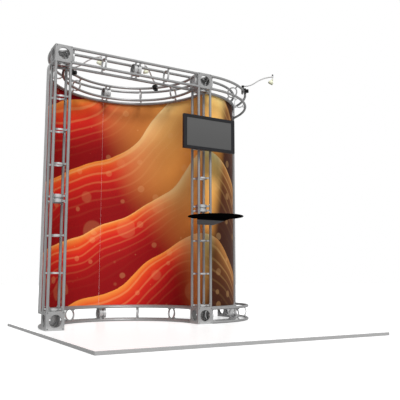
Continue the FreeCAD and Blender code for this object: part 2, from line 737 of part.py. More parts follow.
def monitor_board():
    """Main board on four posts that stand on the back of the screen."""
    back = COVER_FRONT
    board = slab(BOARD_W / 2, BOARD_H / 2, back, back + BOARD)
    reach_x, reach_z = BOARD_W / 2 - BOARD_POST_INSET, BOARD_H / 2 - BOARD_POST_INSET
    posts = [
        Part.makeCylinder(
            BOARD_POST_R, back - SCREEN_BACK, V(sx * reach_x, SCREEN_BACK, MONITOR_Z + sz * reach_z), Y)
        for sx, sz in CORNERS
    ]
    return board.fuse(posts)


def monitor_back_cover():
    """Flat rim over the bezel, raised middle, and corner posts that hold the screen."""
    rim = round_slab(MONITOR_HALF_W, MONITOR_HALF_H, COVER_FRONT, COVER_FRONT + CASE_WALL, BEZEL_EDGE_R)
    raised = slab(COVER_W / 2, COVER_H / 2, COVER_FRONT, COVER_BACK)
    back_edges = [edge for edge in raised.Edges if edge.BoundBox.YMax > COVER_FRONT + CASE_WALL]
    raised = raised.makeFillet(COVER_EDGE_R, back_edges)
    cavity = slab(COVER_W / 2 - CASE_WALL, COVER_H / 2 - CASE_WALL, COVER_FRONT, COVER_BACK - CASE_WALL)
    posts = [
        Part.makeCylinder(
            BOARD_POST_R, COVER_FRONT - SCREEN_BACK,
            V(sx * SCREEN_W / 2, SCREEN_BACK, MONITOR_Z + sz * SCREEN_H / 2), Y)
        for sx, sz in CORNERS
    ]
    return rim.fuse(raised).cut(cavity).fuse(posts).removeSplitter()


def monitor_power_button():
    underside = MONITOR_Z - MONITOR_HALF_H
    seat = underside + CASE_WALL + BODY_GAP
    foot = underside - BUTTON_PROUD
    cap = Part.makeCylinder(BUTTON_R, seat - foot, V(BUTTON_X, BUTTON_Y, foot))
    return cap.fuse(Part.makeCylinder(BUTTON_FLANGE_R, BUTTON_FLANGE, V(BUTTON_X, BUTTON_Y, seat)))


def pin_eye(x_low, wall_y, clearance):
    """Lug from an upright plate at wall_y to the tilt pin, with its hole."""
    eye = Part.makeCylinder(TILT_EYE_R, LUG, V(x_low, PIN_Y, MONITOR_Z), X)
    near, far = sorted((PIN_Y, wall_y))
    root = block(V(x_low, near, MONITOR_Z - TILT_EYE_R), V(x_low + LUG, far, MONITOR_Z + TILT_EYE_R))
    hole = Part.makeCylinder(TILT_PIN_R + clearance, LUG, V(x_low, PIN_Y, MONITOR_Z), X)
    return eye.fuse(root).cut(hole)


def monitor_tilt_plate():
    """Plate on the back cover, with two ears outside the bracket's lugs."""
    plate = round_slab(TILT_PLATE / 2, TILT_PLATE / 2, COVER_BACK, COVER_BACK + PLATE, PLATE_EDGE_R)
    inner = LUG_SPAN / 2 + LUG + BODY_GAP
    ears = [pin_eye(x, COVER_BACK + PLATE / 2, RUNNING_CLEARANCE) for x in (inner, -inner - LUG)]
    return plate.fuse(ears).removeSplitter()


def monitor_bracket(places):
    """Plate on the column's front chords, with two lugs for the tilt pin."""
    plate = round_slab(PLATE_HALF_W, BRACKET_H / 2, PLATE_FRONT, CHORD_FRONT, PLATE_EDGE_R)
    plate = plate.cut(leg_holes(places))
    inner = LUG_SPAN / 2
    lugs = [pin_eye(x, PLATE_FRONT + PLATE / 2, TAIL_CLEARANCE) for x in (inner, -inner - LUG)]
    return plate.fuse(lugs).removeSplitter()


def monitor_tilt_pin():
    half = LUG_SPAN / 2 + 2 * LUG + 2 * BODY_GAP
    head = Part.makeCylinder(2 * TILT_PIN_R, PLATE, V(half, PIN_Y, MONITOR_Z), X)
    return Part.makeCylinder(TILT_PIN_R, 2 * half, V(-half, PIN_Y, MONITOR_Z), X).fuse(head)


def monitor():
    places = u_bolt_places(MONITOR_Z, MONITOR_U_SPAN)
    add("monitor_bezel", [monitor_bezel()])
    add("monitor_screen", [monitor_screen()])
    add("monitor_main_board", [monitor_board()])
    add("monitor_back_cover", [monitor_back_cover()])
    add("monitor_power_button", [monitor_power_button()])
    add("monitor_tilt_plate", [monitor_tilt_plate()])
    add("monitor_tilt_pin", [monitor_tilt_pin()])
    add("monitor_bracket", [monitor_bracket(places)])
    for place in places:
        add("chord_u_bolts", u_bolt(place))


# Shelf

SHELF_UNDER = SHELF_Z - SHELF


def shelf_top():
    """Round top, slotted from the back for the column's front chords."""
    top = Part.makeCylinder(SHELF_R, SHELF, V(0, -SHELF_OUT, SHELF_UNDER))
    top = top.makeFillet(SHELF_EDGE_R, [edge for edge in top.Edges if edge.BoundBox.ZLength < SHELF_EDGE_R])
    slot_r = CHORD_R + SHELF_SLOT_GAP
    for side in (1, -1):
        centre = V(side * CHORD_AT, -CHORD_AT, SHELF_UNDER)
        slot = block(centre - X * slot_r, centre + V(slot_r, SHELF_R, SHELF))
        top = top.cut([Part.makeCylinder(slot_r, SHELF, centre), slot])
    return top


def fan(inset, low):
    """Upright prism on the shelf bracket's plan, which widens outwards from the chords. inset draws it in."""
    flare = (SHELF_BRACKET_HALF_W - PLATE_HALF_W) / SHELF_BRACKET_OUT
    near, far = inset, SHELF_BRACKET_OUT - inset
    near_w, far_w = (PLATE_HALF_W + flare * depth - inset * math.hypot(1, flare) for depth in (near, far))
    plan = [(-near_w, near), (near_w, near), (far_w, far), (-far_w, far)]
    return polygon([V(x, CHORD_FRONT - depth, low) for x, depth in plan]).extrude(Z * (SHELF_UNDER - low))


def wedge(inset, top):
    """Shelf bracket as a full body, or the room in it when drawn in by an inset."""
    back, front = CHORD_FRONT - inset, CHORD_FRONT - SHELF_BRACKET_OUT + inset
    low_back, low_front = SHELF_UNDER - SHELF_BRACKET_H, SHELF_UNDER - SHELF_BRACKET_TIP
    outline = [(back, top), (front, top), (front, low_front + inset), (back, low_back + inset)]
    profile = polygon([V(-SHELF_BRACKET_HALF_W, y, z) for y, z in outline])
    return profile.extrude(X * (2 * SHELF_BRACKET_HALF_W)).common(fan(inset, low_back))


def shelf_bracket(places):
    """Folded wedge: back plate on the chords, splayed cheeks, sloping floor and flanges under the shelf."""
    room = wedge(PLATE, SHELF_UNDER - PLATE)
    opening = fan(SHELF_FLANGE, SHELF_UNDER - 2 * PLATE)
    return wedge(0, SHELF_UNDER).cut([room, opening] + leg_holes(places))


def shelf():
    places = u_bolt_places(SHELF_UNDER - SHELF_BRACKET_H / 2, SHELF_U_SPAN)
    add("shelf_top", [shelf_top()])
    add("shelf_bracket", [shelf_bracket(places)])
    for place in places:
        add("chord_u_bolts", u_bolt(place))


BOX_SOLID = junction_box()
OPEN_RING = spacer_ring(RING_WIDTH)
END_RINGS = {
    end: (spacer_ring(width, closed=True), END_GAP + width / 2)
    for end, width in (("box", RING_WIDTH), ("joint", JOINT_RING_WIDTH))
}
COUPLER = section_coupler()

columns()
front_beam()
curved_walls()
graphics()
spotlights()
monitor()
shelf()

os.makedirs("parts", exist_ok=True)
for node, solids in nodes.items():
    shape = solids[0] if len(solids) == 1 else Part.makeCompound(solids)
    shape.exportStep(os.path.join("parts", node + ".step"))
print(len(nodes), "nodes,", sum(len(solids) for solids in nodes.values()), "solids")
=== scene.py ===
import json
import math

import bmesh
import bpy
import numpy as np
from mathutils import Matrix, Vector


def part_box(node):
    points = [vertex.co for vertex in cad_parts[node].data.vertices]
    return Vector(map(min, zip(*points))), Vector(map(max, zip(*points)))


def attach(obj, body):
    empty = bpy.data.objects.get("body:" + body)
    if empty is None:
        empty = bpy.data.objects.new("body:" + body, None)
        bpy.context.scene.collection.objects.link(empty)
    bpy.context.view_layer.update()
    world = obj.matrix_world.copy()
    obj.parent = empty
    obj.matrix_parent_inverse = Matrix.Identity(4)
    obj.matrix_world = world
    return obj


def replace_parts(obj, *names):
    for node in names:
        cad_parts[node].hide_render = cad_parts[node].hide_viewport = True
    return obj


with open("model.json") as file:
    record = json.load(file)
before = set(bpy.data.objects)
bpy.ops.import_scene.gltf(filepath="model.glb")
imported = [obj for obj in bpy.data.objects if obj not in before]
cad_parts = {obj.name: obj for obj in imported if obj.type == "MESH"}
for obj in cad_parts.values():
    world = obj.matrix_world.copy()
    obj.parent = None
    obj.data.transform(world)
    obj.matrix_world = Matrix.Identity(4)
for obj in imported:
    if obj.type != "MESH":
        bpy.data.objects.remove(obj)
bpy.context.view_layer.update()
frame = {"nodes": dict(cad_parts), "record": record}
nodes = frame["nodes"]

# Layout of the booth, in metres, the same as in the CAD frame
HEIGHT = 2.4384
HALF = 0.0775  # half a junction box
ARC_R = 0.708  # middle line of the curved sections
CHORD_R = 0.0127
TAPE = 0.0015
TAPE_GAP = 0.0001
TAPE_HEIGHT = 0.020
PANEL = 0.0015
HEM = 0.020
HEM_RISE = 0.0006
SEAM = 0.017  # from the panel's edge
BAY_CENTRE = Vector((-ARC_R, HALF, 0))
WING_CENTRE = Vector((HALF, ARC_R, 0))
LOW_CHORD = 2 * HALF - CHORD_R
HIGH_CHORD = HEIGHT - LOW_CHORD
PANEL_LOW = LOW_CHORD - CHORD_R
PANEL_HIGH = HIGH_CHORD + CHORD_R


# Materials

CLOUD_SPAN = (0.3, 0.7)  # most of a noise's values
FLAT_COSINE, EDGE_COSINE = 0.998, 0.9


class Paint:
    """A new material: a Principled shader and short ways to add and join nodes."""

    def __init__(self, name, **sockets):
        self.material = bpy.data.materials.new(name)
        self.material.use_nodes = True
        self.tree = self.material.node_tree
        self.shader = self.tree.nodes["Principled BSDF"]
        for socket, value in sockets.items():
            self.shader.inputs[socket.replace("_", " ")].default_value = value

    def node(self, kind, inputs=(), **settings):
        made = self.tree.nodes.new("ShaderNode" + kind)
        for key, value in settings.items():
            setattr(made, key, value)
        for socket, value in dict(inputs).items():
            self.join(value, made.inputs[socket])
        return made

    def join(self, value, socket):
        if isinstance(value, bpy.types.NodeSocket):
            self.tree.links.new(value, socket)
        else:
            socket.default_value = value

    def set(self, socket, value):
        self.join(value, self.shader.inputs[socket])

    def math(self, operation, a, b=0.0, c=0.0):
        return self.node("Math", {0: a, 1: b, 2: c}, operation=operation).outputs[0]

    def times(self, a, b):
        return self.math("MULTIPLY", a, b)

    def coords(self):
        return self.node("TexCoord").outputs["Object"]

    def place(self, scale=(1, 1, 1)):
        return self.node("Mapping", {"Vector": self.coords(), "Scale": scale}).outputs[0]

    def height(self):
        return self.node("SeparateXYZ", {0: self.coords()}).outputs[2]

    def noise(self, scale, vector=None, detail=3.0, roughness=0.5):
        inputs = {"Vector": vector or self.place(), "Scale": scale, "Detail": detail, "Roughness": roughness}
        return self.node("TexNoise", inputs).outputs["Fac"]

    def span(self, value, low, high, to_low=0.0, to_high=1.0):
        """A smooth step of the value, from low to high."""
        inputs = {"Value": value, "From Min": low, "From Max": high, "To Min": to_low, "To Max": to_high}
        return self.node("MapRange", inputs, interpolation_type="SMOOTHSTEP").outputs[0]

    def roughness(self, cloud, low, high):
        """Roughness between two values, by a cloudy noise."""
        self.set("Roughness", self.span(cloud, *CLOUD_SPAN, low, high))

    def mix(self, share, a, b, blend="MIX"):
        made = self.node("Mix", data_type="RGBA", blend_type=blend)
        for index, value in ((0, share), (6, a), (7, b)):
            if not isinstance(value, (bpy.types.NodeSocket, float, int)):
                value = tuple(value) + (1.0,) * (4 - len(value))
            self.join(value, made.inputs[index])
        return made.outputs[2]

    def ramp(self, share, stops):
        made = self.node("ValToRGB", {"Fac": share})
        elements = made.color_ramp.elements
        while len(elements) < len(stops):
            elements.new(0.5)
        for element, (at, colour) in zip(elements, stops):
            element.position = at
            element.color = tuple(colour) + (1.0,)
        return made.outputs["Color"]

    def bump(self, height, distance, strength):
        """Adds a bump to those already there."""
        inputs = {"Height": height, "Distance": distance, "Strength": strength}
        if self.shader.inputs["Normal"].is_linked:
            inputs["Normal"] = self.shader.inputs["Normal"].links[0].from_socket
        self.set("Normal", self.node("Bump", inputs).outputs[0])

    def edges(self, radius):
        """About 1 along sharp edges and 0 on flat faces."""
        rounded = self.node("Bevel", {"Radius": radius}, samples=4).outputs[0]
        plain = self.node("NewGeometry").outputs["Normal"]
        same = self.node("VectorMath", {0: rounded, 1: plain}, operation="DOT_PRODUCT").outputs["Value"]
        return self.span(same, FLAT_COSINE, EDGE_COSINE)


def grey(value):
    return (value, value, value)


def scaled(colour, factor, lift=0.0):
    return [channel * factor + lift for channel in colour]


def drawn_metal(name, base, streak, rough=0.36, metallic=0.38):
    """Satin tube: fine lines along the length, cloudy finish and light handling marks."""
    paint = Paint(name, Metallic=metallic, Specular_Tint=(0.16, 0.16, 0.17, 1.0), Specular_IOR_Level=0.25)
    lines = paint.noise(420.0, paint.place(streak), detail=2.0)
    cloud = paint.noise(9.0, detail=4.0)
    marks = paint.span(paint.noise(55.0, detail=6.0, roughness=0.7), 0.62, 0.75)
    tone = paint.mix(cloud, grey(base * 0.88), grey(base * 1.06))
    paint.set("Base Color", paint.mix(paint.times(marks, 0.25), tone, grey(base * 0.7)))
    drawn = paint.math("ADD", cloud, lines)
    paint.set("Roughness", paint.span(drawn, 0.5, 1.5, rough - 0.07, rough + 0.09))
    paint.bump(lines, 0.00006, 0.5)
    return paint.material


def cast_metal(name, base):
    """Cast plate: sandy skin, cloudy tone, edges rubbed bright, and painted light that makes sheltered
    places, such as the inside of the box, up to twice as pale.
    """
    paint = Paint(name, Metallic=0.25, Specular_Tint=(0.2, 0.2, 0.2, 1.0), Specular_IOR_Level=0.2)
    sand = paint.noise(900.0, detail=2.0)
    cloud = paint.noise(14.0, detail=5.0, roughness=0.6)
    pits = paint.span(paint.noise(260.0, detail=3.0), 0.6, 0.72)
    tone = paint.mix(cloud, grey(base * 0.84), grey(base * 1.1))
    tone = paint.mix(paint.times(pits, 0.35), tone, grey(base * 0.6))
    tone = paint.mix(paint.times(paint.edges(0.002), 0.5), tone, grey(base * 1.35))
    # painted light: where little of the sky is open, inside the box most, the base is made paler, up to twice
    # its tone
    open_sky = paint.node("AmbientOcclusion", {"Distance": 0.10}, samples=8).outputs["AO"]
    paint.set("Base Color", paint.mix(paint.span(open_sky, 0.75, 0.35), tone, grey(base * 2.0)))
    paint.roughness(cloud, 0.42, 0.58)
    paint.bump(sand, 0.00015, 0.5)
    paint.bump(pits, 0.0002, -0.4)
    return paint.material


def steel(name, base):
    """Zinc plated steel: cloudy, with a fine skin."""
    paint = Paint(name, Metallic=1.0)
    cloud = paint.noise(120.0, detail=4.0)
    paint.set("Base Color", paint.mix(cloud, grey(base * 0.8), grey(base * 1.1)))
    paint.roughness(cloud, 0.25, 0.45)
    paint.bump(paint.noise(1500.0, detail=1.0), 0.00004, 0.4)
    return paint.material


def moulded(name, base, rough, grain=0.0001, worn=1.6, gloss=0.3):
    """Moulded plastic: fine spark-eroded grain, faint mottling, edges rubbed."""
    paint = Paint(name, Specular_IOR_Level=gloss)
    texture = paint.noise(1400.0, detail=2.0)
    cloud = paint.noise(25.0, detail=4.0)
    tone = paint.mix(cloud, scaled(base, 0.85), scaled(base, 1.15))
    rubbed = paint.times(paint.edges(0.0012), 0.5)
    paint.set("Base Color", paint.mix(rubbed, tone, scaled(base, worn, 0.01)))
    paint.roughness(cloud, rough - 0.06, rough + 0.08)
    paint.bump(texture, grain, 0.5)
    return paint.material


def powder_coat(name, base, gloss=0.5, shade_above=None):
    """Painted sheet metal: orange-peel skin, faint dust, worn edges, and, if a height is given, black above
    it as painted shade.
    """
    paint = Paint(name, Specular_IOR_Level=gloss)
    peel = paint.noise(650.0, detail=2.0)
    cloud = paint.noise(18.0, detail=4.0)
    tone = paint.mix(cloud, scaled(base, 0.88), scaled(base, 1.14))
    tone = paint.mix(paint.times(paint.edges(0.0015), 0.45), tone, scaled(base, 1.5, 0.03))
    if shade_above is not None:
        # painted shade: black above the given height, the shelf's shadow on its bracket
        painted_shade = paint.span(paint.height(), shade_above - 0.001, shade_above + 0.001)
        tone = paint.mix(painted_shade, tone, grey(0.003))
    paint.set("Base Color", tone)
    paint.roughness(cloud, 0.42, 0.58)
    paint.bump(peel, 0.00012, 0.5)
    return paint.material


WEAVE_SCALE = 400.0
THREAD_EDGE, THREAD_CORE = 0.0006, 0.0003
STITCHES_PER_METRE, STITCH_SHARE = 250.0, 0.65


def weave(paint):
    """Plain weave of a display fabric, from the print's own coordinates."""
    coords = paint.node("UVMap", uv_map="print").outputs[0]
    across, up = (
        paint.node("TexWave", {"Vector": coords, "Scale": WEAVE_SCALE}, bands_direction=axis).outputs["Fac"]
        for axis in "XY"
    )
    return paint.times(across, up)


def stitches(paint):
    """1 on the thread of the hem's seam."""
    apart = paint.node("SeparateXYZ", {0: paint.node("UVMap", uv_map="hem").outputs[0]})
    off = paint.math("ABSOLUTE", paint.math("SUBTRACT", apart.outputs[0], SEAM))
    along = paint.math("FRACT", paint.times(apart.outputs[1], STITCHES_PER_METRE))
    dash = paint.math("LESS_THAN", along, STITCH_SHARE)
    return paint.times(paint.span(off, THREAD_EDGE, THREAD_CORE), dash)


def printed_front():
    """Dye print in warm colours: silky waves across all panels, from red on the left to gold and brown."""
    paint = Paint("printed_front", Specular_IOR_Level=0.12)
    uv = paint.node("UVMap", uv_map="print").outputs[0]
    apart = paint.node("SeparateXYZ", {0: uv})
    s, z = apart.outputs[0], apart.outputs[1]  # metres along the walls, and up
    drift = paint.math("SUBTRACT", paint.noise(0.55, uv, detail=2.0), 0.5)
    fine = paint.math("SUBTRACT", paint.noise(2.2, uv, detail=3.0), 0.5)

    def total(*terms):
        """Sum of (value, factor) pairs."""
        result = 0.0
        for value, factor in terms:
            result = paint.math("MULTIPLY_ADD", value, factor, result)
        return result

    def wave(rate, phase):
        return paint.math("SINE", paint.math("MULTIPLY_ADD", s, rate, phase))

    # Folds of silk: one slow slope across the panels, bent by two waves
    bend = total((wave(1.9, 0.6), 0.30), (wave(3.7, 2.1), 0.10), (drift, 0.9))
    level = total((z, 1.0), (s, -0.22), (bend, 1.0))
    fold = paint.math("FRACT", total((level, 1.35), (fine, 0.06)))
    crest = paint.math("POWER", fold, 2.2)
    hollow = paint.span(fold, 0.0, 0.16)
    sheen = paint.times(crest, hollow)

    red = paint.ramp(sheen, [
        (0.0, (0.28, 0.004, 0.006)), (0.25, (0.48, 0.010, 0.010)), (0.55, (0.72, 0.024, 0.014)),
        (0.80, (0.86, 0.085, 0.018)), (1.0, (0.97, 0.34, 0.06)),
    ])
    gold = paint.ramp(sheen, [
        (0.0, (0.90, 0.38, 0.08)), (0.25, (0.97, 0.50, 0.13)), (0.55, (1.0, 0.62, 0.19)),
        (0.80, (1.0, 0.74, 0.28)), (1.0, (1.0, 0.84, 0.42)),
    ])
    brown = paint.ramp(sheen, [
        (0.0, (0.04, 0.010, 0.004)), (0.3, (0.09, 0.026, 0.008)), (0.65, (0.21, 0.075, 0.022)),
        (1.0, (0.48, 0.21, 0.06)),
    ])
    towards_gold = paint.span(total((s, 1.0), (z, 0.30), (bend, 0.8)), 1.84, 2.46)
    towards_brown = paint.span(total((s, 1.0), (z, -0.16), (bend, 0.3)), 2.21, 2.45)
    colour = paint.mix(towards_brown, paint.mix(towards_gold, red, gold), brown)

    # Thin bright threads along the folds
    thread = paint.math("SINE", total((level, 62.0), (fine, 3.0)))
    thread = paint.math("POWER", paint.span(thread, 0.3, 1.0), 2.5)
    colour = paint.mix(paint.times(paint.times(thread, sheen), 0.35), colour, (1.0, 0.62, 0.22))

    # Soft round lights, few and large, many and small
    for scale, size, share in ((2.6, 0.28, 0.10), (6.0, 0.22, 0.16)):
        cells = paint.node("TexVoronoi", {"Vector": uv, "Scale": scale}, voronoi_dimensions="2D")
        rank = paint.node("SeparateColor", {0: cells.outputs["Color"]}).outputs[0]
        reach = paint.times(paint.span(rank, 0.55, 1.0), size)
        inside = paint.span(paint.math("SUBTRACT", cells.outputs["Distance"], reach), 0.03, -0.03)
        colour = paint.mix(paint.times(inside, share), colour, (1.0, 0.58, 0.24))

    # Darker towards the left end, then the seam's thread and the weave
    dusk = paint.span(total((s, 1.0), (bend, 0.2)), 0.05, 0.50, 0.75, 0.0)
    colour = paint.mix(dusk, colour, (0.07, 0.010, 0.004))
    seam = stitches(paint)
    colour = paint.mix(paint.times(seam, 0.25), colour, (0.15, 0.06, 0.03))
    cloth = weave(paint)
    paint.set("Base Color", paint.mix(0.12, colour, cloth, "MULTIPLY"))
    paint.set("Roughness", paint.span(cloth, 0.0, 1.0, 0.72, 0.85))
    paint.bump(cloth, 0.00012, 0.5)
    paint.bump(seam, 0.0002, -0.6)
    return paint.material


def plain_cloth(name, base):
    """Bare back of the panels."""
    paint = Paint(name, Sheen_Weight=0.15)
    cloth = weave(paint)
    cloud = paint.noise(5.0, detail=3.0)
    tone = paint.mix(cloud, grey(base * 0.93), grey(base * 1.05))
    tone = paint.mix(paint.times(stitches(paint), 0.5), tone, grey(base * 1.3))
    paint.set("Base Color", paint.mix(0.15, tone, cloth, "MULTIPLY"))
    paint.set("Roughness", paint.span(cloth, 0.0, 1.0, 0.78, 0.9))
    paint.bump(cloth, 0.00015, 0.6)
    return paint.material


def hook_side(name):
    """Moulded hooks, close together."""
    paint = Paint(name)
    hooks = paint.node("TexVoronoi", {"Vector": paint.place(), "Scale": 900.0}).outputs["Distance"]
    paint.set("Base Color", paint.mix(hooks, grey(0.70), grey(0.42)))
    paint.set("Roughness", paint.span(hooks, 0.0, 1.0, 0.5, 0.75))
    paint.bump(hooks, 0.0006, -0.8)
    return paint.material


def shade_material():
    paint = Paint("pale_shade", Transmission_Weight=0.35, IOR=1.45)
    cloud = paint.noise(60.0, detail=3.0)
    paint.set("Base Color", paint.mix(cloud, (0.90, 0.91, 0.68), (0.96, 0.97, 0.80)))
    paint.roughness(cloud, 0.22, 0.34)
    paint.bump(paint.noise(500.0, detail=2.0), 0.00008, 0.4)
    return paint.material


def bulb_material():
    paint = Paint("bulb_glass", Transmission_Weight=1.0, IOR=1.46)
    cloud = paint.noise(150.0, detail=2.0)
    paint.set("Base Color", paint.mix(cloud, (0.95, 0.94, 0.90), (0.99, 0.98, 0.95)))
    paint.roughness(cloud, 0.03, 0.10)
    return paint.material


def screen_material():
    """Switched-off screen: neutral grey, a little paler towards the top as painted sheen, with matt coating
    and fine pixels.
    """
    paint = Paint("screen_face", Specular_IOR_Level=0.25, Coat_Weight=0.1, Coat_Roughness=0.25)
    low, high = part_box("monitor_screen")
    # painted sheen: paler towards the top of the screen, with a slow random tone on it
    sheen_and_mottle = paint.math("ADD", paint.span(paint.height(), low.z, high.z), paint.times(paint.noise(3.0), 0.2))
    paint.set("Base Color", paint.mix(sheen_and_mottle, grey(0.070), grey(0.083)))
    paint.roughness(paint.noise(40.0), 0.34, 0.42)
    paint.bump(paint.noise(4000.0, detail=1.0), 0.00003, 0.3)
    return paint.material


def board_material():
    paint = Paint("circuit_board")
    traces = paint.node("TexBrick", {"Vector": paint.place((1, 0, 1)), "Scale": 60.0}).outputs["Fac"]
    paint.set("Base Color", paint.mix(traces, (0.03, 0.18, 0.07), (0.35, 0.30, 0.10)))
    paint.roughness(paint.noise(80.0), 0.4, 0.6)
    return paint.material


def laminate():
    """Black laminate: fine leather grain, faint scuffs, and a top painted a little paler as painted sheen."""
    paint = Paint("black_laminate", Specular_IOR_Level=0.0)
    grain = paint.noise(700.0, detail=3.0)
    scuffs = paint.span(paint.noise(14.0, paint.place((1, 6, 1)), detail=6.0, roughness=0.7), 0.62, 0.8)
    upward = paint.node("SeparateXYZ", {0: paint.node("NewGeometry").outputs["Normal"]}).outputs[2]
    black = paint.mix(scuffs, grey(0.003), grey(0.012))
    # painted sheen: faces that look up get a paler black, mottled by the scuffs and grain
    sheen_and_scuffs = paint.mix(paint.math("ADD", scuffs, paint.times(grain, 0.3)), grey(0.013), grey(0.040))
    paint.set("Base Color", paint.mix(paint.span(upward, 0.5, 0.9), black, sheen_and_scuffs))
    paint.set("Roughness", paint.span(paint.math("ADD", grain, scuffs), 0.4, 1.4, 0.55, 0.7))
    paint.bump(grain, 0.00008, 0.4)
    return paint.material


UPRIGHT, LEVEL, EVEN = (1, 1, 0.02), (0.02, 0.02, 1), (1, 1, 1)  # ways of the drawn lines
BRACKET_SHADE_LINE = 0.966  # the shelf's bracket is black from here up: painted shade under the shelf
MATERIALS = {
    # the upright chords get a little darker base than the level ones: painted shade
    "column_chords": drawn_metal("upright_tube", 0.28, UPRIGHT),
    "level_chords": drawn_metal("level_tube", 0.30, LEVEL),
    "ring_metal": drawn_metal("ring_metal", 0.43, EVEN, 0.40, 0.75),
    "box_metal": cast_metal("cast_box", 0.31),
    "fastener_steel": steel("zinc_steel", 0.55),
    "clamp_black": moulded("clamp_black", (0.006, 0.006, 0.006), 0.5, gloss=0.15),
    "arm_metal": drawn_metal("arm_metal", 0.58, EVEN, 0.40),
    "shade": shade_material(),
    "bulb_glass": bulb_material(),
    "bezel_black": moulded("bezel_black", (0.010, 0.010, 0.012), 0.34, 0.00005, gloss=0.2),
    "cover_black": moulded("cover_black", (0.016, 0.016, 0.016), 0.55, 0.0002),
    "screen_glass": screen_material(),
    "board": board_material(),
    "bracket_black": powder_coat("bracket_black", (0.022, 0.022, 0.022)),
    "shelf_laminate": laminate(),
    "shelf_bracket_paint": powder_coat("bracket_grey", (0.137, 0.138, 0.142), 0.0, BRACKET_SHADE_LINE),
    "printed_fabric": printed_front(),
    "panel_back": plain_cloth("panel_back", 0.55),
    "hook_tape": hook_side("hook_tape"),
    "baffle_black": moulded("baffle_black", (0.008, 0.008, 0.008), 0.5, gloss=0.1),
    "ceramic": moulded("ceramic", (0.62, 0.60, 0.54), 0.4, 0.00005, 1.1),
}
SLOT_OF = {row["node"]: row["material_slot"] for row in frame["record"]["subparts"]}


def dress(obj, material):
    obj.data.materials.clear()
    obj.data.materials.append(MATERIALS[material])


for name, obj in nodes.items():
    slot = SLOT_OF[name]
    if slot == "chord_metal":
        slot = "column_chords" if "column" in name else "level_chords"
    dress(obj, slot)


# Graphic panels: thin sheets with hems, built on the curved walls

def mesh_object(name, vertices, faces, materials, face_materials=None):
    mesh = bpy.data.meshes.new(name)
    mesh.from_pydata([tuple(v) for v in vertices], [], faces)
    for material in materials:
        mesh.materials.append(MATERIALS[material])
    if face_materials is not None:
        mesh.polygons.foreach_set("material_index", face_materials)
    mesh.polygons.foreach_set("use_smooth", [True] * len(mesh.polygons))
    mesh.update()
    obj = bpy.data.objects.new(name, mesh)
    bpy.context.scene.collection.objects.link(obj)
    return obj


CLOTH = PANEL * 0.8  # leaves room for the hems
ACROSS_STEP, UP_STEP = 0.02, 0.03
SLACK, SLACK_RATE = 0.0004, 23.0
SEAM_DENT, SEAM_HALF = 0.0003, 0.0005
HEM_STATIONS = [0.0, 0.0006, 0.002, 0.008, SEAM - 0.0012, SEAM, SEAM + 0.0012, HEM, HEM + 0.0015]


def stations(length):
    """Places along a panel's width, close together in the hems."""
    inner = HEM_STATIONS[-1]
    count = max(2, int((length - 2 * inner) / ACROSS_STEP))
    middle = np.linspace(inner, length - inner, count + 1)[1:-1]
    return np.array(HEM_STATIONS + list(middle) + [length - d for d in reversed(HEM_STATIONS)])


def sheet_on_arc(name, centre, front, back, first, last, low, high, along_start, materials, hem=True):
    """Closed thin sheet between two radii, from the angle first to last, left to right from the front."""
    sign = 1 if back > front else -1
    radius = (front + back) / 2
    length = abs(math.radians(last - first)) * radius
    across = stations(length) if hem else np.linspace(0, length, int(length / ACROSS_STEP) + 2)
    up = np.linspace(low, high, max(3, int((high - low) / UP_STEP)))
    edge = np.minimum(across, length - across)
    rise = np.where(edge < HEM + 0.0001, HEM_RISE, 0.0) if hem else np.zeros_like(across)
    pinch = np.where(np.abs(edge - SEAM) < SEAM_HALF, SEAM_DENT, 0.0) if hem else np.zeros_like(across)
    vertices, print_at, hem_at = [], [], []
    for side, base in ((0, front), (1, back)):
        for z in up:
            loose = SLACK * math.sin((z - low) / (high - low) * math.pi) if hem else 0.0
            for place, lift, dent, inset in zip(across, rise, pinch, edge):
                angle = math.radians(first + (last - first) * place / length)
                slack = loose * math.sin(place * SLACK_RATE)
                r = base + sign * (slack + (dent if side == 0 else lift - dent))
                vertices.append(centre + Vector((r * math.cos(angle), r * math.sin(angle), z)))
                print_at.append((along_start + place, z))
                hem_at.append((inset, z))
    columns, rows = len(across), len(up)
    count = columns * rows
    faces, kinds = [], []
    for j in range(rows - 1):
        for i in range(columns - 1):
            a = j * columns + i
            quad = [a, a + 1, a + 1 + columns, a + columns]
            faces += [quad, [v + count for v in reversed(quad)]]
            kinds += [0, 1]
    rim = list(range(columns)) + [j * columns + columns - 1 for j in range(1, rows)]
    rim += [count - 2 - i for i in range(columns - 1)] + [j * columns for j in range(rows - 2, 0, -1)]
    for a, b in zip(rim, rim[1:] + rim[:1]):
        faces.append([b, a, a + count, b + count])
        kinds.append(1)
    obj = mesh_object(name, vertices, faces, materials, kinds)
    if hem:
        loops = np.array([loop.vertex_index for loop in obj.data.loops])
        for layer, values in (("print", print_at), ("hem", hem_at)):
            data = obj.data.uv_layers.new(name=layer).data
            data.foreach_set("uv", np.array(values, float)[loops].ravel())
    return obj


BAY_FRONT = ARC_R + HALF + TAPE_GAP + TAPE
WING_FRONT = ARC_R - HALF - TAPE_GAP - TAPE
GAP = 0.001
BAY_LENGTH = math.pi / 2 * (BAY_FRONT + PANEL / 2)


def turn(length, radius):
    return math.degrees(length / radius)


BAY_END, BAY_SEAM = turn(GAP, BAY_FRONT), turn(GAP / 2, BAY_FRONT)
WING_START, WING_END = turn(TAPE_GAP + TAPE + PANEL + GAP, WING_FRONT), turn(GAP, WING_FRONT)

# Centre, front radius, way to the back, first and last angle, and where the print starts
WALLS = {
    "bay_left": (BAY_CENTRE, BAY_FRONT, 1, 180 - BAY_END, 90 + BAY_SEAM, 0.0),
    "bay_right": (BAY_CENTRE, BAY_FRONT, 1, 90 - BAY_SEAM, BAY_END, BAY_LENGTH),
    "wing": (WING_CENTRE, WING_FRONT, -1, -90 + WING_START, -WING_END, 2 * BAY_LENGTH),
}

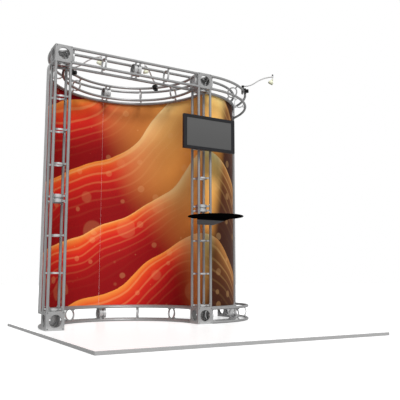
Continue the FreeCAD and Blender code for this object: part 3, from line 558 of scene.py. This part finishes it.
for wall, (centre, front, sign, first, last, along) in WALLS.items():
    panel = sheet_on_arc(wall + "_graphic", centre, front, front + sign * CLOTH, first, last,
                         PANEL_LOW, PANEL_HIGH, along, ["printed_fabric", "panel_back"])
    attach(panel, "booth")
    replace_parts(panel, wall + "_panel")
    for level, chord in (("base", LOW_CHORD), ("top", HIGH_CHORD)):
        tape = sheet_on_arc(f"{wall}_{level}_tape", centre, front - sign * TAPE, front, first, last,
                            chord - TAPE_HEIGHT / 2, chord + TAPE_HEIGHT / 2, along, ["hook_tape"], hem=False)
        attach(tape, "booth")
        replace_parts(tape, "hook_tapes")


# Small forms that several pieces share

ASKEW = Vector((0.3, 0.5, 0.8))  # no swept path runs this way
SHARP = math.radians(32)
BRICK_TOP = 0.7  # inset of a block's top, as a share of its cut edge


class Form:
    """Vertices and faces of a piece, gathered from turned and swept forms."""

    def __init__(self):
        self.vertices, self.faces = [], []

    def add(self, place, points, faces):
        start = len(self.vertices)
        self.vertices += [place @ Vector(point) for point in points]
        self.faces += [[start + index for index in face] for face in faces]

    def turned(self, place, profile, sides=24):
        """Rows of (radius, height) about Z, from pole to pole. A third value makes a row a hexagon."""
        points, rows = [], []
        for radius, height, *hexagon in profile:
            if radius == 0:
                rows.append([len(points)] * sides)
                points.append((0, 0, height))
                continue
            rows.append(list(range(len(points), len(points) + sides)))
            for k in range(sides):
                angle = 2 * math.pi * k / sides
                off = (angle + math.pi / 6) % (math.pi / 3) - math.pi / 6
                reach = radius / math.cos(off) if hexagon else radius
                points.append((reach * math.cos(angle), reach * math.sin(angle), height))
        faces = []
        for low, high in zip(rows, rows[1:]):
            for k in range(sides):
                face = [low[k], low[(k + 1) % sides], high[(k + 1) % sides], high[k]]
                face = [v for i, v in enumerate(face) if v != face[i - 1]]
                if len(face) > 2:
                    faces.append(face)
        self.add(place, points, faces)

    def ringed(self, place, outline, sides=32):
        """Closed outline of (radius, height) corners about the Z axis."""
        points, faces = [], []
        count = len(outline)
        for k in range(sides):
            angle = 2 * math.pi * k / sides
            points += [(r * math.cos(angle), r * math.sin(angle), z) for r, z in outline]
        for k in range(sides):
            a, b = k * count, (k + 1) % sides * count
            faces += [[a + i, b + i, b + (i + 1) % count, a + (i + 1) % count] for i in range(count)]
        self.add(place, points, faces)

    def swept(self, place, path, radii, sides=6, closed=False):
        """Tube along a path, with its own radius at each point."""
        path = [Vector(point) for point in path]
        count, points, faces = len(path), [], []
        for i, point in enumerate(path):
            before = path[i - 1] if closed or i else point
            after = path[(i + 1) % count] if closed or i < count - 1 else point
            along = (after - before).normalized()
            side = along.cross(ASKEW).normalized()
            other = along.cross(side)
            for k in range(sides):
                angle = 2 * math.pi * k / sides
                points.append(point + (side * math.cos(angle) + other * math.sin(angle)) * radii[i])
        for i in range(count if closed else count - 1):
            a, b = i * sides, (i + 1) % count * sides
            faces += [[a + k, a + (k + 1) % sides, b + (k + 1) % sides, b + k] for k in range(sides)]
        if not closed:
            faces += [list(range(sides - 1, -1, -1)), list(range((count - 1) * sides, count * sides))]
        self.add(place, points, faces)

    def brick(self, place, size, edge):
        """Block about the origin, its edges along Z cut off, and its upper edges too."""
        x, y, z = size[0] / 2, size[1] / 2, size[2] / 2

        def corners(inset, height):
            a, b, e = x - inset, y - inset, edge
            return [(a, e - b, height), (a, b - e, height), (a - e, b, height), (e - a, b, height),
                    (-a, b - e, height), (-a, e - b, height), (e - a, -b, height), (a - e, -b, height)]

        points = corners(0, -z) + corners(0, z - edge) + corners(edge * BRICK_TOP, z)
        faces = [list(range(7, -1, -1)), list(range(16, 24))]
        for row in (0, 8):
            faces += [[row + k, row + (k + 1) % 8, row + 8 + (k + 1) % 8, row + 8 + k] for k in range(8)]
        self.add(place, points, faces)

    def piece(self, name, body, slot, material=None):
        obj = mesh_object(name, self.vertices, self.faces, [material or slot])
        made = bmesh.new()
        made.from_mesh(obj.data)
        bmesh.ops.recalc_face_normals(made, faces=made.faces)
        made.to_mesh(obj.data)
        made.free()
        obj.data.set_sharp_from_angle(angle=SHARP)
        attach(obj, body)
        return obj


def moved(x, y, z):
    return Matrix.Translation((x, y, z))


def spun(degrees, axis):
    return Matrix.Rotation(math.radians(degrees), 4, axis)


# Truss: where its sections, rings and lock screws are

BOX = 2 * HALF
CHORD_AT = HALF - CHORD_R
LOWER_COLUMN = 0.940
UPPER_COLUMN = HEIGHT - 2 * BOX - LOWER_COLUMN
BEAM = ARC_R - HALF
LOWER_RINGS, UPPER_RINGS, BEAM_RINGS, CURVE_RINGS = 2, 3, 1, 2
END_INSET = {"box": 0.0160, "joint": 0.0215}
SCREW_INSET = 0.036
CORNERS = [(1, 1), (1, -1), (-1, 1), (-1, -1)]
COLUMN_AXES = [(-2 * ARC_R, 0.0), (0.0, 0.0), (ARC_R + HALF, ARC_R + HALF)]

# Place, length, rings between the ends, and kind of both ends
straight = []
for x, y in COLUMN_AXES:
    straight.append((moved(x, y, BOX), LOWER_COLUMN, LOWER_RINGS, ("box", "joint")))
    straight.append((moved(x, y, BOX + LOWER_COLUMN), UPPER_COLUMN, UPPER_RINGS, ("joint", "box")))
for x, ends in ((HALF - 2 * ARC_R, ("box", "joint")), (-ARC_R, ("joint", "box"))):
    straight.append((moved(x, 0, HEIGHT - HALF) @ spun(90, "Y"), BEAM, BEAM_RINGS, ends))
quarters = [
    (BAY_CENTRE, 90, ("joint", "box")), (BAY_CENTRE, 0, ("box", "joint")), (WING_CENTRE, -90, ("box", "box")),
]
curved = [
    (Matrix.Translation(centre + Vector((0, 0, height))) @ spun(start, "Z"), ends)
    for height in (HALF, HEIGHT - HALF)
    for centre, start, ends in quarters
]


def ring_stations(length, between, ends):
    pitch = length / (between + 1)
    first, last = (END_INSET[end] for end in ends)
    return [first] + [pitch * (k + 1) for k in range(between)] + [length - last]


def ring_places():
    """Frames whose Z axis is the axis of a ring."""
    for place, length, between, ends in straight:
        for station in ring_stations(length, between, ends):
            yield place @ moved(0, 0, station)
    for place, ends in curved:
        for station in ring_stations(ARC_R * math.pi / 2, CURVE_RINGS, ends):
            yield place @ spun(turn(station, ARC_R), "Z") @ moved(ARC_R, 0, 0) @ spun(-90, "X")


def screw_places():
    """Frames whose Z axis is a lock screw's axis, from the chord's centre inwards."""
    for place, length, _, _ in straight:
        for sx, sy in CORNERS:
            for height in (SCREW_INSET, length - SCREW_INSET):
                yield place @ moved(sx * CHORD_AT, sy * CHORD_AT, height) @ spun(-90 * sx, "Y")
    for place, _ in curved:
        for sr, sz in CORNERS:
            radius = ARC_R + sr * CHORD_AT
            inset = turn(SCREW_INSET, radius)
            for degrees in (inset, 90 - inset):
                yield place @ spun(degrees, "Z") @ moved(radius, 0, sz * CHORD_AT) @ spun(90 + 90 * sz, "X")


SCREW_FOOT, SCREW_TOP = CHORD_R - 0.0019, CHORD_R + 0.0035
SHANK_R, HEAD_R, SOCKET_R = 0.0030, 0.0050, 0.0020
SCREW_PROFILE = [
    (0, SCREW_FOOT), (SHANK_R, SCREW_FOOT), (SHANK_R, CHORD_R), (HEAD_R, CHORD_R), (HEAD_R, CHORD_R + 0.0014),
    (0.0046, SCREW_TOP - 0.0010), (0.0038, SCREW_TOP - 0.0002), (0.0031, SCREW_TOP),
    (SOCKET_R, SCREW_TOP, True), (SOCKET_R, SCREW_TOP - 0.0020, True), (0, SCREW_TOP - 0.0022),
]


def lock_screws():
    """Button heads with a hexagon socket, on the shanks that go through the chords."""
    form = Form()
    for place in screw_places():
        form.turned(place, SCREW_PROFILE)
    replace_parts(form.piece("socket_screws", "booth", "fastener_steel"), "lock_screws")


WELD_HALF_WIDE, WELD_HALF_LONG = 0.0062, 0.0077
WELD_ENDS, WELD_SIDES = 8, 9  # points along each side of the bead
WELD_AT, WELD_R, WELD_RIPPLE = CHORD_R + 0.0002, 0.0015, 0.0003


def ring_welds():
    """Rippled bead round the foot of every ring arm, on the chord."""
    spread = math.asin(WELD_HALF_WIDE / CHORD_R)
    corners = [(-1, -1), (1, -1), (1, 1), (-1, 1)]
    counts = (WELD_ENDS, WELD_SIDES, WELD_ENDS, WELD_SIDES)
    path = []
    for (a, b), (c, d), count in zip(corners, corners[1:] + corners[:1], counts):
        for k in range(count):
            share = k / count
            angle = spread * (a + (c - a) * share)
            z = WELD_HALF_LONG * (b + (d - b) * share)
            path.append((-WELD_AT * math.cos(angle), WELD_AT * math.sin(angle), z))
    radii = [WELD_R + WELD_RIPPLE * (k % 2) for k in range(len(path))]
    out = moved(CHORD_AT * math.sqrt(2), 0, 0)
    form = Form()
    for place in ring_places():
        for k in range(4):
            form.swept(place @ spun(45 + 90 * k, "Z") @ out, path, radii, closed=True)
    form.piece("ring_welds", "booth", "ring_metal")


# Spotlights: what the eye finds in and on each head

# Centre and radius of the chord that holds the clamp, angle on it, and the way the arm faces
LAMPS = {
    "left": (BAY_CENTRE, ARC_R - CHORD_AT, 135, 315),
    "centre": (BAY_CENTRE, ARC_R - CHORD_AT, 45, 225),
    "right": (WING_CENTRE, ARC_R + CHORD_AT, -45, -45),
}
POST_X, PIVOT_Z = 0.314, 0.1056
HEAD_TURN = -151
NUT_AT = 0.0077
KNOB_FACE = 0.0502
COLLAR_X, COLLAR_Z = 0.0012, 0.0556

BAFFLE_STEPS, BAFFLE_RISE, BAFFLE_GROWTH = 6, 0.0045, 0.0020
BAFFLE_FRONT, BAFFLE_BACK, BAFFLE_EDGE = (0.0092, 0.0200), (0.0100, 0.0208), 0.0012
BAFFLE_FOOT, BAFFLE_LIP = [(0.0092, 0.0160), (0.0085, 0.0160)], [(0.0222, 0.0476), (0.0215, 0.0470)]
SOCKET_OUTLINE = [(0.0063, 0.0132), (0.0082, 0.0132), (0.0082, 0.0185), (0.0076, 0.0192), (0.0063, 0.0192)]
RIM_R, RIM_Z, RIM_BEAD_R = 0.0264, 0.0530, 0.0010
LEAD_X, LEAD_R, LEAD_LOW, LEAD_HIGH = 0.0016, 0.0004, 0.0135, 0.0240
COIL_Z, COIL_R, COIL_WIRE_R, COIL_TURNS = 0.0242, 0.0007, 0.00015, 5
NUT_PROFILE = [
    (0, 0.0), (0.0034, 0.0, True), (0.0034, 0.0014, True), (0.0028, 0.0014), (0.0024, 0.0024),
    (0.0013, 0.0031), (0, 0.0033),
]
CAP_PROFILE = [
    (0, -0.0010), (0.0100, -0.0010), (0.0100, 0.0006), (0.0092, 0.0014), (0.0050, 0.0020), (0, 0.0021),
]
COLLAR_OUTLINE = [
    (0.0067, 0.0), (0.0086, 0.0), (0.0090, 0.0006), (0.0090, 0.0050), (0.0080, 0.0060), (0.0067, 0.0060),
]


def baffle_outline():
    """Stepped funnel: the steps on the inside, and a plain slope behind them."""
    (front_r, front_z), (back_r, back_z) = BAFFLE_FRONT, BAFFLE_BACK
    steps = []
    for k in range(BAFFLE_STEPS):
        low, high = front_z + BAFFLE_RISE * k, front_z + BAFFLE_RISE * (k + 1)
        inner, outer = front_r + BAFFLE_GROWTH * k, front_r + BAFFLE_GROWTH * (k + 1)
        steps += [(inner, low), (inner, high - BAFFLE_EDGE), (outer, high)]
    slope = [(back_r + BAFFLE_GROWTH * k, back_z + BAFFLE_RISE * k) for k in reversed(range(BAFFLE_STEPS))]
    return BAFFLE_FOOT[1:] + steps + BAFFLE_LIP + slope + BAFFLE_FOOT[:1]


def rim_outline():
    angles = np.linspace(0, 2 * math.pi, 10, endpoint=False)
    return [(RIM_R + RIM_BEAD_R * math.cos(t), RIM_Z + RIM_BEAD_R * math.sin(t)) for t in angles]


def filament(head):
    form = Form()
    for side in (1, -1):
        form.swept(head, [(LEAD_X * side, 0, LEAD_LOW), (LEAD_X * side, 0, LEAD_HIGH)], [LEAD_R, LEAD_R])
    angles = np.linspace(0, 2 * math.pi * COIL_TURNS, 81)
    coil = [(LEAD_X - 2 * LEAD_X * t / angles[-1], COIL_R * math.sin(t), COIL_Z + COIL_R * math.cos(t))
            for t in angles]
    form.swept(head, coil, [COIL_WIRE_R] * len(coil), 5)
    return form


def ringed(place, outline, sides=32):
    form = Form()
    form.ringed(place, outline, sides)
    return form


def lamp_details(lamp):
    centre, radius, at, facing = LAMPS[lamp]
    angle = math.radians(at)
    place = centre + Vector((radius * math.cos(angle), radius * math.sin(angle), HEIGHT - CHORD_R))
    foot = Matrix.Translation(place) @ spun(facing, "Z")
    pivot = foot @ moved(POST_X, 0, PIVOT_Z)
    head = pivot @ spun(HEAD_TURN, "Y")

    def piece(form, name, body, slot, material=None):
        form.piece(f"{lamp}_lamp_{name}", f"{lamp}_lamp_{body}", slot, material)

    piece(ringed(head, baffle_outline(), 40), "baffle", "head", "clamp_black", "baffle_black")
    piece(ringed(head, SOCKET_OUTLINE), "socket", "head", "shade", "ceramic")
    piece(ringed(head, rim_outline(), 48), "shade_rim", "head", "shade")
    piece(filament(head), "filament", "head", "fastener_steel")

    nuts = Form()
    for side in (1, -1):
        nuts.turned(pivot @ spun(-90 * side, "X") @ moved(0, 0, NUT_AT), NUT_PROFILE)
    piece(nuts, "pivot_nuts", "arm", "fastener_steel")

    cap = Form()
    cap.turned(foot @ moved(KNOB_FACE, 0, 0) @ spun(90, "Y"), CAP_PROFILE, 32)
    piece(cap, "knob_cap", "clamp_knob", "clamp_black")

    collar_place = foot @ moved(COLLAR_X, 0, COLLAR_Z) @ spun(90, "Y")
    piece(ringed(collar_place, COLLAR_OUTLINE), "arm_collar", "arm", "clamp_black")


# Monitor: back and underside

MONITOR_Z = 1.804
COVER_BACK, RIM_BACK, TILT_BACK = -0.127, -0.142, -0.124
PAN_HEAD = [
    (0, 0.0), (0.0036, 0.0), (0.0036, 0.0008), (0.0030, 0.0018),
    (0.0016, 0.0022, True), (0.0016, 0.0010, True), (0, 0.0009),
]
RIM_SCREWS, TILT_SCREWS = (0.268, 0.150), (0.050, 0.050)
VENT_COLUMNS, VENT_ROWS = (0.130, 0.170), 14
VENT_START, VENT_PITCH = MONITOR_Z + 0.012, 0.0062
VENT_SIZE, VENT_EDGE = (0.034, 0.0030, 0.0022), 0.0007
PORTS = ((-0.150, 0.016), (-0.120, 0.040), (-0.085, 0.016))  # place and width
PORT_Y, PORT_Z = -0.136, MONITOR_Z - 0.110
PORT_DEPTH, PORT_HEIGHT, PORT_EDGE = 0.0085, 0.0030, 0.0012


def monitor_details():
    vents = Form()
    for side in (1, -1):
        for column in VENT_COLUMNS:
            for row in range(VENT_ROWS):
                place = moved(side * column, COVER_BACK, VENT_START + VENT_PITCH * row) @ spun(-90, "X")
                vents.brick(place, VENT_SIZE, VENT_EDGE)
    vents.piece("monitor_vents", "monitor", "cover_black")

    screws = Form()
    for sx, sz in CORNERS:
        for (x, z), back in ((RIM_SCREWS, RIM_BACK), (TILT_SCREWS, TILT_BACK)):
            screws.turned(moved(x * sx, back, MONITOR_Z + z * sz) @ spun(-90, "X"), PAN_HEAD)
    screws.piece("monitor_screws", "monitor", "fastener_steel")

    ports = Form()
    for x, width in PORTS:
        ports.brick(moved(x, PORT_Y, PORT_Z) @ spun(180, "X"), (width, PORT_DEPTH, PORT_HEIGHT), PORT_EDGE)
    ports.piece("monitor_ports", "monitor", "fastener_steel")


lock_screws()
ring_welds()
for lamp in LAMPS:
    lamp_details(lamp)
monitor_details()


# Floor, light and camera

SLAB_LOW, SLAB_HIGH = Vector((-1.580, -1.490, -0.0255)), Vector((0.875, 0.960, -0.0005))
SLAB_TONE, SLAB_GLOW, SLAB_EDGE_TONE = 0.50, 0.56, 0.34
FLOOR_REACH, FLOOR_DEPTH = 30.0, 1.0
FLOOR_TONE, FLOOR_GLOW = 0.50, 0.62
EDGE_ROUND, LEVEL_NORMAL = 0.0015, 0.9
TONE_SPREAD = 0.01
WORLD_LIGHT, WORLD_SEEN = 0.36, 1.0
SUN_ENERGY, SUN_ANGLE = 3.0, 25
SUN_WAY = Vector((0.10, 0.75, -0.72))
LENS, SENSOR = 51.72, 36.0
CAMERA_AT, CAMERA_WAY = (-2.7655, -4.8040, 0.4246), Vector((0.4925, 0.8598, 0.1350))


def light_path(tree):
    """1 for rays from the camera, from gloss and through glass, which see the background white."""
    rays = tree.nodes.new("ShaderNodeLightPath").outputs
    seen = rays["Is Camera Ray"]
    for kind in ("Is Glossy Ray", "Is Transmission Ray"):
        either = tree.nodes.new("ShaderNodeMath")
        either.operation = "MAXIMUM"
        tree.links.new(seen, either.inputs[0])
        tree.links.new(rays[kind], either.inputs[1])
        seen = either.outputs[0]
    return seen


def mottled(paint, scale, tone):
    noise = paint.noise(scale, detail=2.0)
    paint.set("Base Color", paint.mix(noise, grey(tone - TONE_SPREAD), grey(tone + TONE_SPREAD)))


def stage_block(name, low, high, tone, glow, edge_tone=None):
    """Low slab with rounded edges, as floor. edge_tone is the tone of its sides, where they differ."""
    made = bmesh.new()
    bmesh.ops.create_cube(made, size=1.0)
    size, middle = high - low, (high + low) / 2
    for vertex in made.verts:
        vertex.co = Vector(a * b for a, b in zip(vertex.co, size)) + middle
    bmesh.ops.bevel(made, geom=list(made.edges), offset=EDGE_ROUND, segments=2, affect="EDGES")
    mesh = bpy.data.meshes.new(name)
    made.to_mesh(mesh)
    made.free()
    obj = bpy.data.objects.new(name, mesh)
    bpy.context.scene.collection.objects.link(obj)
    paint = Paint(name, Roughness=0.3, Specular_IOR_Level=0.12)
    mottled(paint, 0.7, tone)
    paint.set("Emission Color", (1.0, 1.0, 1.0, 1.0))
    paint.set("Emission Strength", paint.times(light_path(paint.tree), glow))
    mesh.materials.append(paint.material)
    if edge_tone is not None:
        band = Paint(name + "_edge", Roughness=0.5)
        mottled(band, 4.0, edge_tone)
        mesh.materials.append(band.material)
        mesh.polygons.foreach_set("material_index", [int(p.normal.z < LEVEL_NORMAL) for p in mesh.polygons])


def stage_floor():
    stage_block("floor_slab", SLAB_LOW, SLAB_HIGH, SLAB_TONE, SLAB_GLOW, SLAB_EDGE_TONE)
    low, high = (-FLOOR_REACH, -FLOOR_REACH, -FLOOR_DEPTH), (FLOOR_REACH, FLOOR_REACH, SLAB_LOW.z)
    stage_block("floor", Vector(low), Vector(high), FLOOR_TONE, FLOOR_GLOW)


def studio():
    scene = bpy.context.scene
    scene.view_settings.view_transform = "Standard"
    world = bpy.data.worlds.new("studio")
    scene.world = world
    world.use_nodes = True
    tree = world.node_tree
    background = tree.nodes["Background"]
    strength = tree.nodes.new("ShaderNodeMapRange")
    tree.links.new(light_path(tree), strength.inputs["Value"])
    strength.inputs["To Min"].default_value = WORLD_LIGHT
    strength.inputs["To Max"].default_value = WORLD_SEEN
    tree.links.new(strength.outputs[0], background.inputs["Strength"])
    background.inputs["Color"].default_value = (1.0, 1.0, 1.0, 1.0)

    sun = bpy.data.lights.new("key", "SUN")
    sun.energy = SUN_ENERGY
    sun.angle = math.radians(SUN_ANGLE)
    key = bpy.data.objects.new("key", sun)
    key.rotation_mode = "QUATERNION"
    key.rotation_quaternion = SUN_WAY.to_track_quat("-Z", "Y")
    scene.collection.objects.link(key)


def camera():
    data = bpy.data.cameras.new("camera")
    data.sensor_width = SENSOR
    data.lens = LENS
    data.clip_end = 200.0
    obj = bpy.data.objects.new("camera", data)
    bpy.context.scene.collection.objects.link(obj)
    obj.location = CAMERA_AT
    obj.rotation_mode = "QUATERNION"
    obj.rotation_quaternion = CAMERA_WAY.to_track_quat("-Z", "Y")
    bpy.context.scene.camera = obj


stage_floor()
studio()
camera()
